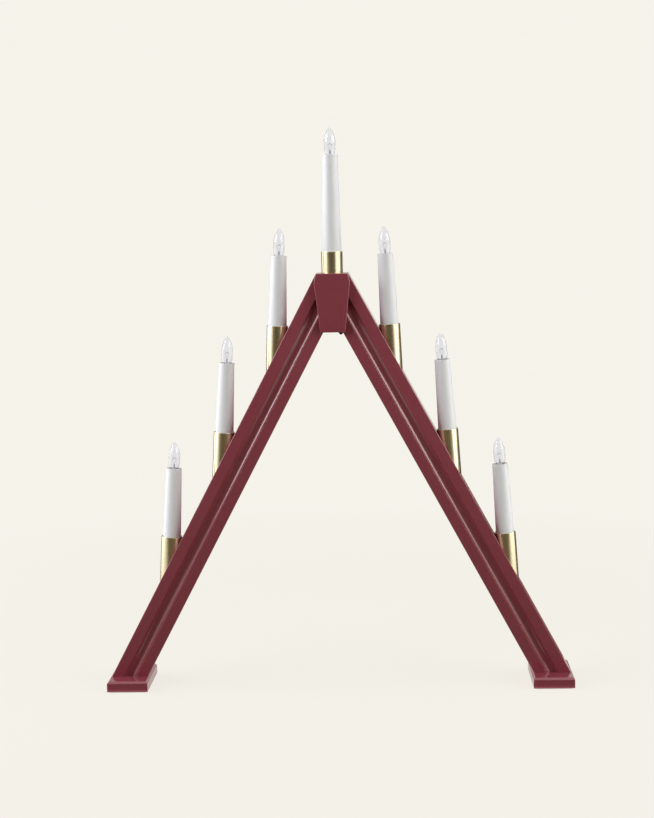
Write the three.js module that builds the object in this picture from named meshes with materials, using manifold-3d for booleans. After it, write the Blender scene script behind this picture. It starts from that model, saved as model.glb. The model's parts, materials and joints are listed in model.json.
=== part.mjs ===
// Advent candle holder: two painted battens leaned together on wide feet, with one electric candle on the
// apex and three down each leg. Millimetres, +Z up, front towards -Y. The origin lies on the table, midway
// between the feet.
import * as THREE from "three";
import { mergeVertices } from "three/addons/utils/BufferGeometryUtils.js";
import Module from "manifold-3d";

const wasm = await Module();
wasm.setup();

// Battens and how they lean together
const legWidth = 34; // seen from the front, square to the batten
const legDepth = 30;
const legSpread = 28.16; // degrees that each leg leans from upright
const apexHeight = 432.2; // flat top of the joined legs, above the table
const apexFlat = 32.7; // width of that flat top
const legEasing = 1; // chamfer on the long edges
const coveWidth = 12; // decorative groove down the front
const coveDepth = 4;

// Feet, with the screw and the pad under each
const footReveal = 2; // how far the foot shows on each side of the leg
const footDepth = 70;
const footHeight = 11;
const footChamfer = 2;
const padThickness = 1;
const padInset = 3;
const screwRadius = 2;
const screwLength = 36;
const screwHeadRadius = 4;
const screwHeadHeight = 2.4;
const screwTip = 4;
const screwRecess = 0.6; // head below the underside of the foot
const screwFit = 0.3;

// Plate over the front of the mitre
const plateDrop = 59.9; // from the flat top down to its lower edge
const plateShoulderDrop = 8.4;
const plateShoulderWidth = 36.8;
const plateLowerWidth = 25.5;
const plateThickness = 6;
const plateEasing = 0.6;

// Where the candles stand
const rowStart = 90.2; // down the outer face from the apex corner to the first side candle
const rowEnd = 137.6; // up the outer face from the foot to the last one
const rowNames = ["upper", "middle", "lower"];
const sideLeans = [2.5, 3.6, 3.7]; // degrees that the side candles lean towards the middle, from the upper one down
const sideRimHeight = 26.2; // rim of a side cup above the batten, along the cup
const topRimHeight = 21.8;

// Brass cups
const cupRadius = 11;
const cupWall = 0.6;
const cupFloor = 0.8;
const cupFloorHole = 4;
const cupFit = 0.25; // cup to drilled wood
const seatGap = 0.3; // under a piece that stands in a turned hole

// Candle sleeves
const sleeveTopRadius = 8;
const sleeveFootRadius = 10.1;
const sleeveTaper = 98; // length over which the radius grows
const sleeveSpigot = 26.2; // straight foot below the taper
const sleeveWall = 1.1;
const sideSink = 52; // how far a sleeve goes into a side cup
const topSink = 26;
const ledgeHeight = 2; // ring inside the sleeve that carries the lamp socket
const ledgeHole = 5.6;

// Lamp sockets and lamps
const socketFit = 0.35; // socket to sleeve
const socketLength = 22;
const socketRecess = 1; // socket top below the sleeve's rim
const capRadius = 4.65;
const capLength = 9.4;
const capWall = 0.4;
const capFit = 0.3; // cap to socket bore
const capSeat = 0.3; // contact to the bottom of the bore, and to the cap above it
const contactRadius = 1.9;
const contactHeight = 1.2;
const insulatorRadius = 4;
const insulatorHeight = 0.8;
const glassRadius = 6;
const glassWall = 0.6;
const glassHeight = 27.4; // above the sleeve's rim
const glassNeckFit = 0.25;
const glassNeckLength = 4;
const glassShoulder = 0.6; // below the rim, where it starts to widen
const glassWidest = 9; // height above the rim where it has its full width
const glassStraight = 13; // height where the sides start to draw in
const glassNose = 5; // how far the nose's curve keeps their direction
const glassTipReach = 2.6; // and how far the curve over the tip reaches

// Leads from socket to socket, in a channel down the back
const leadRadius = 1.1;
const leadSpacing = 1.8; // half the distance between two leads in one hole
const leadGap = 0.3;
const leadBend = 3;
const laneOffset = 2; // leads either side of the channel's centre line
const channelWidth = 8;
const channelDepth = 3;
const channelStart = 36; // down the leg from the apex corner
const boreRadius = 4.5;
const boreDrop = 10; // cup bottom down to the bore that leads to the back
const landEdge = 3; // leads from the top candle round the leg's inside edge, this far in from it
const landDown = 12; // there, down the leg from the start of the channel
const laneDown = 20; // over the channel
const laneInDown = 26; // down in the channel
const crossingDown = 5; // the return lead leaves the channel to cross the apex
const crossingIn = 11; // down in the channel
const crossingRise = 3.5; // and passes this far above the crotch of the legs
const returnTurn = 7.2; // the return lead starts to turn towards its bore

// Terminal block on the back of the right leg
const blockRise = 31.5; // up the leg from the foot to the block
const blockLength = 34;
const blockWidth = 18;
const blockHeight = 10;
const blockEasing = 1.2;
const slotWidth = 8; // inlet for a flat mains cord
const slotHeight = 4.8;
const slotDepth = 10;
const rampLength = 8; // over which the leads climb out of the channel
const rampClear = 6; // level run before the block
const rampHeight = 4; // above the back face

const roundSides = 20;
const smallSides = 16;
const leadSides = 8;
const coveSides = 8;
const curveSteps = 3; // straight stretches in each curve of the glass

const spread = THREE.MathUtils.degToRad(legSpread);
const footTop = padThickness + footHeight;
const backFace = legDepth / 2;
const middle = legWidth / 2;
const leadLevel = backFace - channelDepth + leadGap + leadRadius; // in the channel
const surfaceLevel = backFace + leadGap + leadRadius; // lying on the back face
const sleeveLength = sleeveTaper + sleeveSpigot;
const socketTop = sleeveLength - socketRecess;
const socketFoot = socketTop - socketLength;
const crotchHeight = apexHeight + (apexFlat / 2) / Math.tan(spread) - legWidth / Math.sin(spread);
const outerRun = (apexHeight - footTop) / Math.cos(spread); // the leg's outer face, from the apex to the foot
const middleRun = outerRun - middle * Math.tan(spread);
const rowPitch = (outerRun - rowStart - rowEnd) / (rowNames.length - 1);
const blockStart = middleRun - blockRise - blockLength;

const paint = new THREE.MeshStandardMaterial({ color: 0x75343f, roughness: 0.42, metalness: 0 });
const brass = new THREE.MeshStandardMaterial({ color: 0xd9b25c, roughness: 0.22, metalness: 1 });
const candlePlastic = new THREE.MeshStandardMaterial({ color: 0xf3f2f4, roughness: 0.35, metalness: 0 });
const clearGlass = new THREE.MeshStandardMaterial({
  color: 0xeef0f2,
  roughness: 0.05,
  metalness: 0,
  transparent: true,
  opacity: 0.35,
});
const socketPlastic = new THREE.MeshStandardMaterial({ color: 0xe8e4dc, roughness: 0.5, metalness: 0 });
const nickel = new THREE.MeshStandardMaterial({ color: 0xc9c6bd, roughness: 0.3, metalness: 1 });
const solder = new THREE.MeshStandardMaterial({ color: 0x8f9092, roughness: 0.4, metalness: 1 });
const steel = new THREE.MeshStandardMaterial({ color: 0x9a9a98, roughness: 0.35, metalness: 1 });
const felt = new THREE.MeshStandardMaterial({ color: 0x3b3f3a, roughness: 0.95, metalness: 0 });
const leadRubber = new THREE.MeshStandardMaterial({ color: 0x26231f, roughness: 0.55, metalness: 0 });
const blockPlastic = new THREE.MeshStandardMaterial({ color: 0x2b2724, roughness: 0.4, metalness: 0 });

const holder = new THREE.Group();

function toSolid(geometry) {
  const bare = geometry.clone();
  bare.deleteAttribute("normal");
  bare.deleteAttribute("uv");
  const merged = mergeVertices(bare, 1e-4);
  const mesh = new wasm.Mesh({
    numProp: 3,
    vertProperties: merged.attributes.position.array,
    triVerts: new Uint32Array(merged.index.array),
  });
  return new wasm.Manifold(mesh);
}

function toGeometry(solid) {
  const { vertProperties, triVerts } = solid.getMesh();
  const geometry = new THREE.BufferGeometry();
  geometry.setAttribute("position", new THREE.BufferAttribute(vertProperties, 3));
  geometry.setIndex(new THREE.BufferAttribute(triVerts, 1));
  geometry.computeVertexNormals();
  return geometry;
}

function cut(geometry, cutters) {
  const left = cutters.reduce((solid, cutter) => solid.subtract(toSolid(cutter)), toSolid(geometry));
  return toGeometry(left);
}

function addMesh(parent, name, geometry, material) {
  const mesh = new THREE.Mesh(geometry, material);
  mesh.name = name;
  parent.add(mesh);
  return mesh;
}

// A profile of [radius, height] points, turned about Z. It starts and ends on the axis, or closes on itself.
function turned(profile, sides) {
  const points = profile.map(([radius, height]) => new THREE.Vector2(radius, height));
  return new THREE.LatheGeometry(points, sides).rotateX(Math.PI / 2);
}

function closed(profile) {
  return [...profile, profile[0]];
}

function rod(radius, from, to, sides) {
  return turned([[0, from], [radius, from], [radius, to], [0, to]], sides);
}

// A box given by its lowest and highest corners.
function boxBetween(low, high) {
  const size = high.map((value, i) => value - low[i]);
  const centre = high.map((value, i) => (value + low[i]) / 2);
  return new THREE.BoxGeometry(...size).translate(...centre);
}

// The right leg's own frame: across from its outer face, towards the back, and down the leg from the
// corner of the flat top.
const legFrame = new THREE.Matrix4()
  .makeBasis(
    new THREE.Vector3(-Math.cos(spread), 0, -Math.sin(spread)),
    new THREE.Vector3(0, 1, 0),
    new THREE.Vector3(Math.sin(spread), 0, -Math.cos(spread)),
  )
  .setPosition(apexFlat / 2, 0, apexHeight);

function legPoint(side, across, back, down) {
  const point = new THREE.Vector3(across, back, down).applyMatrix4(legFrame);
  point.x *= side;
  return point;
}

// One candle's place. Its frame has its origin under the middle of the cup and Z up the candle.
function place(name, side, row) {
  const sink = side === 0 ? topSink : sideSink;
  const lean = THREE.MathUtils.degToRad(sideLeans[row]) * side;
  const cupLength = cupFloor + seatGap + sink;
  const frame = new THREE.Matrix4().makeRotationY(-lean);
  const up = new THREE.Vector3(0, 0, 1).applyMatrix4(frame);
  const rim = side === 0
    ? new THREE.Vector3(0, 0, apexHeight + topRimHeight)
    : legPoint(side, 0, 0, rowStart + row * rowPitch).addScaledVector(up, sideRimHeight);
  frame.setPosition(rim.addScaledVector(up, -cupLength));
  return { name, side, frame, cupLength };
}

const sidePlaces = (side, word) => rowNames.map((rowName, row) => place(`${word}_${rowName}`, side, row));
const leftPlaces = sidePlaces(-1, "left");
const rightPlaces = sidePlaces(1, "right");
const topPlace = place("top", 0, 0);

function inFrame({ frame }, x, y, z) {
  return new THREE.Vector3(x, y, z).applyMatrix4(frame);
}

function battenSection() {
  const front = -backFace;
  const coveRadius = (coveWidth ** 2 / 4 + coveDepth ** 2) / (2 * coveDepth);
  const half = Math.asin(coveWidth / 2 / coveRadius);
  const shape = new THREE.Shape();
  shape.moveTo(legEasing, front);
  shape.lineTo(middle - coveWidth / 2, front);
  const up = Math.PI / 2;
  shape.absarc(middle, front + coveDepth - coveRadius, coveRadius, up + half, up - half, true);
  shape.lineTo(legWidth - legEasing, front);
  shape.lineTo(legWidth, front + legEasing);
  shape.lineTo(legWidth, backFace - legEasing);
  shape.lineTo(legWidth - legEasing, backFace);
  shape.lineTo(legEasing, backFace);
  shape.lineTo(0, backFace - legEasing);
  shape.lineTo(0, front + legEasing);
  return shape;
}

// The hole for a cup, the narrow bore under it, and the bore from there to the back of the leg.
function cupHoles({ frame, cupLength, side }) {
  const turn = -seatGap - boreDrop;
  const depth = side === 0 ? -legWidth / Math.sin(spread) : turn - boreRadius;
  const holes = [
    rod(cupRadius + cupFit, -seatGap, cupLength + legWidth, roundSides),
    rod(boreRadius, depth, 0, smallSides),
  ];
  if (side !== 0) {
    holes.push(rod(boreRadius, 0, legDepth, smallSides).rotateX(-Math.PI / 2).translate(0, 0, turn));
  }
  return holes.map((hole) => hole.applyMatrix4(frame));
}

const legBaseHalf = legWidth / Math.cos(spread) / 2;
const legBaseMiddle = apexFlat / 2 + (apexHeight - footTop) * Math.tan(spread) - legBaseHalf;

function screwProfile(gap) {
  const bottom = padThickness + screwRecess;
  const top = bottom + screwLength;
  const shank = screwRadius + gap;
  const head = screwHeadRadius + gap;
  return { bottom, top, shank, head, neck: bottom + screwHeadHeight };
}

function screwGeometry() {
  const { bottom, top, shank, head, neck } = screwProfile(0);
  return turned([[0, bottom], [head, bottom], [shank, neck], [shank, top - screwTip], [0, top]], smallSides);
}

function screwHole() {
  const { bottom, top, shank, head, neck } = screwProfile(screwFit);
  const mouth = bottom - screwRecess * 2;
  const profile = [[0, mouth], [head, mouth], [head, bottom], [shank, neck], [shank, top], [0, top + screwFit]];
  return turned(profile, smallSides);
}

function legGeometry() {
  const reach = (apexHeight - footTop) / Math.cos(spread) + legWidth;
  const batten = new THREE.ExtrudeGeometry(battenSection(), {
    depth: reach + legWidth,
    bevelEnabled: false,
    curveSegments: coveSides / 2, // an arc gets twice as many
  });
  batten.translate(0, 0, -legWidth).applyMatrix4(legFrame);
  const room = boxBetween([0, -legDepth, footTop], [reach, legDepth, apexHeight]);
  const trimmed = toGeometry(toSolid(batten).intersect(toSolid(room)));
  const channelEnd = blockStart - rampClear;
  const channel = boxBetween(
    [middle - channelWidth / 2, backFace - channelDepth, channelStart],
    [middle + channelWidth / 2, legDepth, channelEnd],
  ).applyMatrix4(legFrame);
  const pilot = screwHole().translate(legBaseMiddle, 0, 0);
  const holes = [...rightPlaces, topPlace].flatMap(cupHoles);
  return cut(trimmed, [channel, pilot, ...holes]);
}

function addFrame() {
  const leg = legGeometry();
  addMesh(holder, "leg_right", leg, paint);
  addMesh(holder, "leg_left", leg, paint).scale.x = -1;
  addMesh(holder, "apex_plate", plateGeometry(), paint);
}

function plateGeometry() {
  const half = [apexFlat / 2, plateShoulderWidth / 2, plateLowerWidth / 2].map((width) => width - plateEasing);
  const drop = [plateEasing, plateShoulderDrop, plateDrop - plateEasing];
  const right = half.map((x, i) => new THREE.Vector2(x, apexHeight - drop[i]));
  const left = right.map(({ x, y }) => new THREE.Vector2(-x, y)).reverse();
  const plate = new THREE.ExtrudeGeometry(new THREE.Shape([...right, ...left]), {
    depth: plateThickness - plateEasing,
    bevelThickness: plateEasing,
    bevelSize: plateEasing,
    bevelSegments: 1,
  });
  plate.rotateX(Math.PI / 2).translate(0, -backFace, 0);
  const behind = boxBetween([-legWidth, -backFace, 0], [legWidth, backFace, apexHeight * 2]);
  return cut(plate, [behind]);
}

function footGeometry() {
  const halfWidth = legBaseHalf + footReveal - footChamfer;
  const halfDepth = footDepth / 2 - footChamfer;
  const outline = new THREE.Shape([
    new THREE.Vector2(-halfWidth, -halfDepth),
    new THREE.Vector2(halfWidth, -halfDepth),
    new THREE.Vector2(halfWidth, halfDepth),
    new THREE.Vector2(-halfWidth, halfDepth),
  ]);
  const block = new THREE.ExtrudeGeometry(outline, {
    depth: footHeight,
    bevelThickness: footChamfer,
    bevelSize: footChamfer,
    bevelSegments: 1,
  });
  block.translate(0, 0, padThickness - footChamfer);
  const under = boxBetween([-footDepth, -footDepth, -footDepth], [footDepth, footDepth, padThickness]);
  return cut(block, [under, screwHole()]);
}

function addFeet() {
  const foot = footGeometry();
  const halfWidth = legBaseHalf + footReveal - padInset;
  const halfDepth = footDepth / 2 - padInset;
  const pad = boxBetween([-halfWidth, -halfDepth, 0], [halfWidth, halfDepth, padThickness]);
  for (const [word, side] of [["left", -1], ["right", 1]]) {
    const group = new THREE.Group();
    group.position.x = side * legBaseMiddle;
    addMesh(group, `foot_${word}`, foot, paint);
    addMesh(group, `foot_pad_${word}`, pad, felt);
    addMesh(group, `foot_screw_${word}`, screwGeometry(), steel);
    holder.add(group);
  }
}

function cupGeometry(cupLength) {
  const inside = cupRadius - cupWall;
  return turned(
    closed([
      [cupFloorHole, 0],
      [cupRadius, 0],
      [cupRadius, cupLength],
      [inside, cupLength],
      [inside, cupFloor],
      [cupFloorHole, cupFloor],
    ]),
    roundSides,
  );
}

// The sleeve tapers to its rim, and has a ring inside that the lamp socket stands on.
function sleeveGeometry() {
  const bore = sleeveTopRadius - sleeveWall;
  const ledgeTop = socketFoot - seatGap;
  return turned(
    closed([
      [sleeveFootRadius - sleeveWall, 0],
      [sleeveFootRadius, 0],
      [sleeveFootRadius, sleeveSpigot],
      [sleeveTopRadius, sleeveLength],
      [bore, sleeveLength],
      [bore, ledgeTop],
      [ledgeHole, ledgeTop],
      [ledgeHole, ledgeTop - ledgeHeight],
      [bore, ledgeTop - ledgeHeight],
      [sleeveFootRadius - sleeveWall, sleeveSpigot],
    ]),
    roundSides,
  );
}

const boreFloor = socketTop - capLength - insulatorHeight - contactHeight - 2 * capSeat;

function socketGeometry() {
  const outside = sleeveTopRadius - sleeveWall - socketFit;
  const bore = capRadius + capFit;
  return turned(
    [[0, socketFoot], [outside, socketFoot], [outside, socketTop], [bore, socketTop], [bore, boreFloor], [0, boreFloor]],
    roundSides,
  );
}

function contactGeometry() {
  const bottom = boreFloor + capSeat;
  const shelf = bottom + contactHeight;
  const top = shelf + insulatorHeight;
  return turned(
    [[0, bottom], [contactRadius, bottom], [contactRadius, shelf], [insulatorRadius, shelf], [insulatorRadius, top], [0, top]],
    smallSides,
  );
}

function capGeometry() {
  const top = socketTop;
  const bottom = top - capLength;
  const inside = capRadius - capWall;
  return turned(
    closed([
      [contactRadius, bottom],
      [capRadius, bottom],
      [capRadius, top],
      [inside, top],
      [inside, bottom + capWall],
      [contactRadius, bottom + capWall],
    ]),
    smallSides,
  );
}

// One wall of the lamp's glass from its neck to its tip, drawn in by the given amount.
function glassWallProfile(inset) {
  const rim = sleeveLength;
  const neck = capRadius - capWall - glassNeckFit - inset;
  const side = glassRadius - inset;
  const tip = rim + glassHeight - inset;
  const wall = new THREE.Path();
  wall.moveTo(neck, socketTop - glassNeckLength);
  wall.lineTo(neck, rim - glassShoulder);
  wall.bezierCurveTo(neck, rim - glassShoulder / 2, side, rim - glassShoulder / 4, side, rim + glassWidest);
  wall.lineTo(side, rim + glassStraight);
  wall.bezierCurveTo(side, rim + glassStraight + glassNose, glassTipReach, tip, 0, tip);
  return wall.getPoints(curveSteps).map(({ x, y }) => [x, y]);
}

function glassGeometry() {
  return turned([...glassWallProfile(glassWall).reverse(), ...glassWallProfile(0)], smallSides);
}

function addCandle(spot) {
  const { name, frame, cupLength } = spot;
  const group = new THREE.Group();
  group.applyMatrix4(frame);
  addMesh(group, `cup_${name}`, cupGeometry(cupLength), brass);
  const candle = new THREE.Group();
  candle.position.z = cupFloor + seatGap;
  addMesh(candle, `candle_sleeve_${name}`, sleeveGeometry(), candlePlastic);
  addMesh(candle, `lamp_socket_${name}`, socketGeometry(), socketPlastic);
  addMesh(candle, `lamp_contact_${name}`, contactGeometry(), solder);
  addMesh(candle, `lamp_cap_${name}`, capGeometry(), nickel);
  addMesh(candle, `lamp_glass_${name}`, glassGeometry(), clearGlass);
  group.add(candle);
  holder.add(group);
}

// A path with one ring of the tube at each of its points.
class Route extends THREE.Curve {
  constructor(points) {
    super();
    this.points = points;
  }

  nearest(u) {
    return Math.round(u * (this.points.length - 1));
  }

  getPointAt(u) {
    return this.points[this.nearest(u)].clone();
  }

  getTangentAt(u) {
    const i = this.nearest(u);
    const here = this.points[i];
    const before = this.points[Math.max(i - 1, 0)];
    const after = this.points[Math.min(i + 1, this.points.length - 1)];
    const arriving = here.clone().sub(before).normalize();
    const leaving = after.clone().sub(here).normalize();
    return arriving.add(leaving).normalize();
  }
}

// The corners of a route, each turned into a short curve.
function rounded(corners) {
  const points = [corners[0]];
  for (let i = 1; i < corners.length - 1; i += 1) {
    const [before, here, after] = corners.slice(i - 1, i + 2);
    const reach = Math.min(leadBend, before.distanceTo(here) / 2, after.distanceTo(here) / 2);
    const start = here.clone().add(before.clone().sub(here).setLength(reach));
    const end = here.clone().add(after.clone().sub(here).setLength(reach));
    points.push(...new THREE.QuadraticBezierCurve3(start, here, end).getPoints(2));
  }
  return [...points, corners.at(-1)];
}

function addLead(name, corners) {
  const points = rounded(corners);
  const section = new THREE.Shape().absarc(0, 0, leadRadius, 0, 2 * Math.PI);
  const geometry = new THREE.ExtrudeGeometry(section, {
    steps: points.length - 1,
    extrudePath: new Route(points),
    curveSegments: leadSides / 2, // a circle gets twice as many
  });
  addMesh(holder, name, geometry, leadRubber);
}

// The end of a lead in a candle, from under its socket to the bend below the cup. The lead lies on the side
// given by the sign of x.
function insideCandle(spot, x) {
  const start = cupFloor + seatGap + socketFoot - leadGap;
  return [inFrame(spot, x, 0, start), inFrame(spot, x, 0, -seatGap - boreDrop)];
}

// A point at the back, this far down the leg from the middle of a candle's bore.
function boreMouth(spot, across, further) {
  const turn = inFrame(spot, 0, 0, -seatGap - boreDrop);
  turn.x *= spot.side;
  const { z: down } = turn.applyMatrix4(legFrame.clone().invert());
  return legPoint(spot.side, across, leadLevel, down + further);
}

const seriesLane = middle - laneOffset;
const returnLane = middle + laneOffset;

// A lead's last corners, where it leaves the channel and goes up into a candle. It comes from the apex (-1)
// or from the foot (+1).
function intoCandle(spot, across, towards) {
  const ends = insideCandle(spot, towards * spot.side * leadSpacing);
  return [boreMouth(spot, across, towards * leadSpacing), ...ends.reverse()];
}

function addLegLeads(places, word) {
  for (let row = 0; row < places.length - 1; row += 1) {
    const [upper, lower] = places.slice(row, row + 2);
    const corners = [...intoCandle(upper, seriesLane, 1).reverse(), ...intoCandle(lower, seriesLane, -1)];
    addLead(`lead_${word}_${rowNames[row]}_to_${rowNames[row + 1]}`, corners);
  }
}

// From the top candle down through the apex, round the inside edge of the leg and into its channel. The
// points under the apex are given from the crotch of the legs.
function addTopLead(side, first, underApex) {
  const start = cupFloor + seatGap + socketFoot - leadGap;
  const corners = [
    inFrame(topPlace, side * leadSpacing, 0, start),
    ...underApex.map(([x, y, z]) => new THREE.Vector3(side * x, y, crotchHeight + z)),
    legPoint(side, legWidth - landEdge, surfaceLevel, channelStart + landDown),
    legPoint(side, seriesLane, surfaceLevel, channelStart + laneDown),
    legPoint(side, seriesLane, leadLevel, channelStart + laneInDown),
    ...intoCandle(first, seriesLane, -1),
  ];
  addLead(`lead_top_to_${first.name}`, corners);
}

// Corners from the terminal block into the channel.
function fromBlock(across) {
  const rampEnd = blockStart - rampClear - leadRadius;
  const level = backFace + rampHeight;
  return [
    legPoint(1, across, level, blockStart - leadGap),
    legPoint(1, across, level, rampEnd),
    legPoint(1, across, leadLevel, rampEnd - rampLength),
  ];
}

// Corners up a channel and out onto the back of the apex.
function overApex(side) {
  return [
    legPoint(side, returnLane, leadLevel, channelStart + crossingIn),
    legPoint(side, returnLane, surfaceLevel, channelStart + crossingDown),
  ];
}

function addLeads() {
  addLegLeads(leftPlaces, "left");
  addLegLeads(rightPlaces, "right");
  addTopLead(-1, leftPlaces[0], [[leadSpacing, 0, -8], [3.6, 9, -14], [5, surfaceLevel, -15]]);
  addTopLead(1, rightPlaces[0], [
    [leadSpacing, 0, -8],
    [4.8, 7, -18.8],
    [7.4, 12.5, -22.9],
    [9.4, surfaceLevel + 1, -19.2],
  ]);
  addLead("lead_feed", [...fromBlock(seriesLane), ...intoCandle(rightPlaces.at(-1), seriesLane, 1)]);
  const last = leftPlaces.at(-1);
  addLead("lead_return", [
    ...fromBlock(returnLane),
    ...overApex(1),
    new THREE.Vector3(0, surfaceLevel, crotchHeight + crossingRise),
    ...overApex(-1).reverse(),
    boreMouth(last, returnLane, -returnTurn),
    ...intoCandle(last, middle - laneOffset / 2, 1),
  ]);
}

function addTerminalBlock() {
  const halfWidth = blockWidth / 2 - blockEasing;
  const near = blockStart + blockEasing;
  const far = blockStart + blockLength - blockEasing;
  const outline = new THREE.Shape([
    new THREE.Vector2(middle - halfWidth, -far),
    new THREE.Vector2(middle + halfWidth, -far),
    new THREE.Vector2(middle + halfWidth, -near),
    new THREE.Vector2(middle - halfWidth, -near),
  ]);
  const body = new THREE.ExtrudeGeometry(outline, {
    depth: blockHeight,
    bevelThickness: blockEasing,
    bevelSize: blockEasing,
    bevelSegments: 1,
  });
  body.rotateX(-Math.PI / 2).translate(0, backFace - blockEasing, 0);
  const under = boxBetween([0, 0, 0], [legWidth, backFace, blockStart + blockLength + legWidth]);
  const end = blockStart + blockLength;
  const level = backFace + blockHeight / 2;
  const slot = boxBetween(
    [middle - slotWidth / 2, level - slotHeight / 2, end - slotDepth],
    [middle + slotWidth / 2, level + slotHeight / 2, end + slotDepth],
  );
  addMesh(holder, "terminal_block", cut(body, [under, slot]).applyMatrix4(legFrame), blockPlastic);
}

addFrame();
addFeet();
[...leftPlaces, topPlace, ...rightPlaces].forEach(addCandle);
addLeads();
addTerminalBlock();

export default holder;
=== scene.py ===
import json
import math

import bmesh
import bpy
import numpy as np
from mathutils import Matrix, Vector

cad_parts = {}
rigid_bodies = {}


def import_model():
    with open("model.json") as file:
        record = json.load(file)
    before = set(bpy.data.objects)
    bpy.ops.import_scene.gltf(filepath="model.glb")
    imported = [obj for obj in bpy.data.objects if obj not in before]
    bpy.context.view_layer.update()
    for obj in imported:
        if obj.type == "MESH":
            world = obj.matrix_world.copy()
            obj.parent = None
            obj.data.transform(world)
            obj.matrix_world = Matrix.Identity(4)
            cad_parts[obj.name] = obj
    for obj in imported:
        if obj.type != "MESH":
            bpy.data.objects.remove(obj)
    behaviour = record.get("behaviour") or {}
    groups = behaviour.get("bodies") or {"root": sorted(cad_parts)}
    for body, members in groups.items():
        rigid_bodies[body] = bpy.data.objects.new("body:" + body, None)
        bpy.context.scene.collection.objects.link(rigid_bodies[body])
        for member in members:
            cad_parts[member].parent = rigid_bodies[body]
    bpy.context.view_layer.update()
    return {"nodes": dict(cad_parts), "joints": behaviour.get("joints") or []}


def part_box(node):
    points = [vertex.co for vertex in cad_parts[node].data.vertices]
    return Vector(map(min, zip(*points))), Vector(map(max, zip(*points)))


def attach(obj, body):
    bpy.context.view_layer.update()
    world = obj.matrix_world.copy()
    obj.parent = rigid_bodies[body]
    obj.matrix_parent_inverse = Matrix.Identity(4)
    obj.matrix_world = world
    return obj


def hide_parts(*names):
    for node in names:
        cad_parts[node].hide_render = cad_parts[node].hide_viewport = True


# Advent candle holder: two painted battens leaned together, seven brass cups, seven electric candles.
# Shapes are worked out in millimetres, and buildMesh writes them in metres. +Z is up, and the front is
# towards -Y.
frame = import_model()     # bodies, nodes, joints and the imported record
mm = 0.001


# Camera, where the photograph was taken from

view = {
    "place": (58.77, -1618.5, 492.4),
    "turn": 2.379,      # degrees to the left of straight ahead
    "dip": 7.075,       # degrees down
    "tilt": 1.222,      # degrees, the right side lower
    "focal": 1572.5,    # in pixels of the photograph
    "frame": (654, 818),
    "sensor": 36,
    "clip": (0.05, 50),  # nearest and furthest, in metres
}


def addCamera():
    camera = bpy.data.objects.new("camera", bpy.data.cameras.new("camera"))
    bpy.context.scene.collection.objects.link(camera)
    camera.data.sensor_width = view["sensor"]
    camera.data.lens = view["focal"] * view["sensor"] / max(view["frame"])
    camera.data.clip_start, camera.data.clip_end = view["clip"]
    stand = Matrix.Identity(4)
    for angle, axis in ((view["turn"], "Z"), (90 - view["dip"], "X"), (-view["tilt"], "Z")):
        stand = stand @ Matrix.Rotation(math.radians(angle), 4, axis)
    stand.translation = Vector(view["place"]) * mm
    camera.matrix_world = stand
    bpy.context.scene.camera = camera


# Materials

def tint(red, green, blue):
    # the colour that a picker shows as these numbers from 0 to 255
    share = np.array([red, green, blue]) / 255
    linear = np.where(share > 0.04045, ((share + 0.055) / 1.055) ** 2.4, share / 12.92)
    return (*linear.tolist(), 1.0)


class Wire:
    # what a node gives out; sums written with it add Math nodes
    def __init__(self, tree, socket):
        self.tree, self.socket = tree, socket

    def math(self, operation, other, swapped=False):
        node = self.tree.nodes.new("ShaderNodeMath")
        node.operation = operation
        for slot, item in zip(node.inputs, (other, self) if swapped else (self, other)):
            plug(self.tree, slot, item)
        return Wire(self.tree, node.outputs[0])

    def __add__(self, other):
        return self.math("ADD", other)

    def __sub__(self, other):
        return self.math("SUBTRACT", other)

    def __rsub__(self, other):
        return self.math("SUBTRACT", other, swapped=True)

    def __mul__(self, other):
        return self.math("MULTIPLY", other)

    __radd__ = __add__


def plug(tree, slot, item):
    if isinstance(item, Wire):
        tree.links.new(item.socket, slot)
    else:
        slot.default_value = item


class Finish:
    # one material or world, written from its coordinates to its surface
    def __init__(self, name, owner=None):
        self.owner = owner or bpy.data.materials.new(name)
        self.owner.use_nodes = True
        self.tree = self.owner.node_tree
        self.tree.nodes.clear()

    def node(self, kind, settings, values, out=0):
        # settings are made first, then values or wires go to the sockets
        made = self.tree.nodes.new(kind)
        for name, value in settings.items():
            setattr(made, name, value)
        for name, value in values.items():
            plug(self.tree, made.inputs[name], value)
        return Wire(self.tree, made.outputs[out]) if made.outputs else made

    def place(self, turn=0.0, stretch=(1, 1, 1)):
        # the piece's own coordinates, turned about Y and stretched
        raw = self.node("ShaderNodeTexCoord", {}, {}, "Object")
        aligned = self.node("ShaderNodeMapping", {}, {"Vector": raw, "Rotation": (0, turn, 0)})
        return self.node("ShaderNodeMapping", {}, {"Vector": aligned, "Scale": stretch})

    def noise(self, place, scale, detail, roughness):
        values = {"Vector": place, "Scale": scale, "Detail": detail, "Roughness": roughness}
        return self.node("ShaderNodeTexNoise", {}, values)

    def mix(self, share, first, second):
        # sockets 0, 6 and 7 are the share and the two colours, and 2 is the colour that comes out
        settings = {"data_type": "RGBA", "clamp_factor": True}
        return self.node("ShaderNodeMix", settings, {0: share, 6: first, 7: second}, 2)

    def bump(self, height, depth, strength, under=None):
        # depth in millimetres; the bumps may lie over others
        values = {"Height": height, "Distance": depth * mm, "Strength": strength}
        if under is not None:
            values["Normal"] = under
        return self.node("ShaderNodeBump", {}, values)

    def surface(self, values):
        self.close(self.node("ShaderNodeBsdfPrincipled", {}, values))
        return self.owner

    def close(self, shader):
        self.node("ShaderNodeOutputMaterial", {}, {"Surface": shader})


paintLook = {
    "red": tint(143, 65, 79), "deep": tint(134, 58, 72), "bright": tint(153, 75, 90),
    "cloudShare": 0.9, "streakShare": 0.35, "roughness": 0.2, "unevenness": 0.12, "gloss": 0.85,
}


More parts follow.
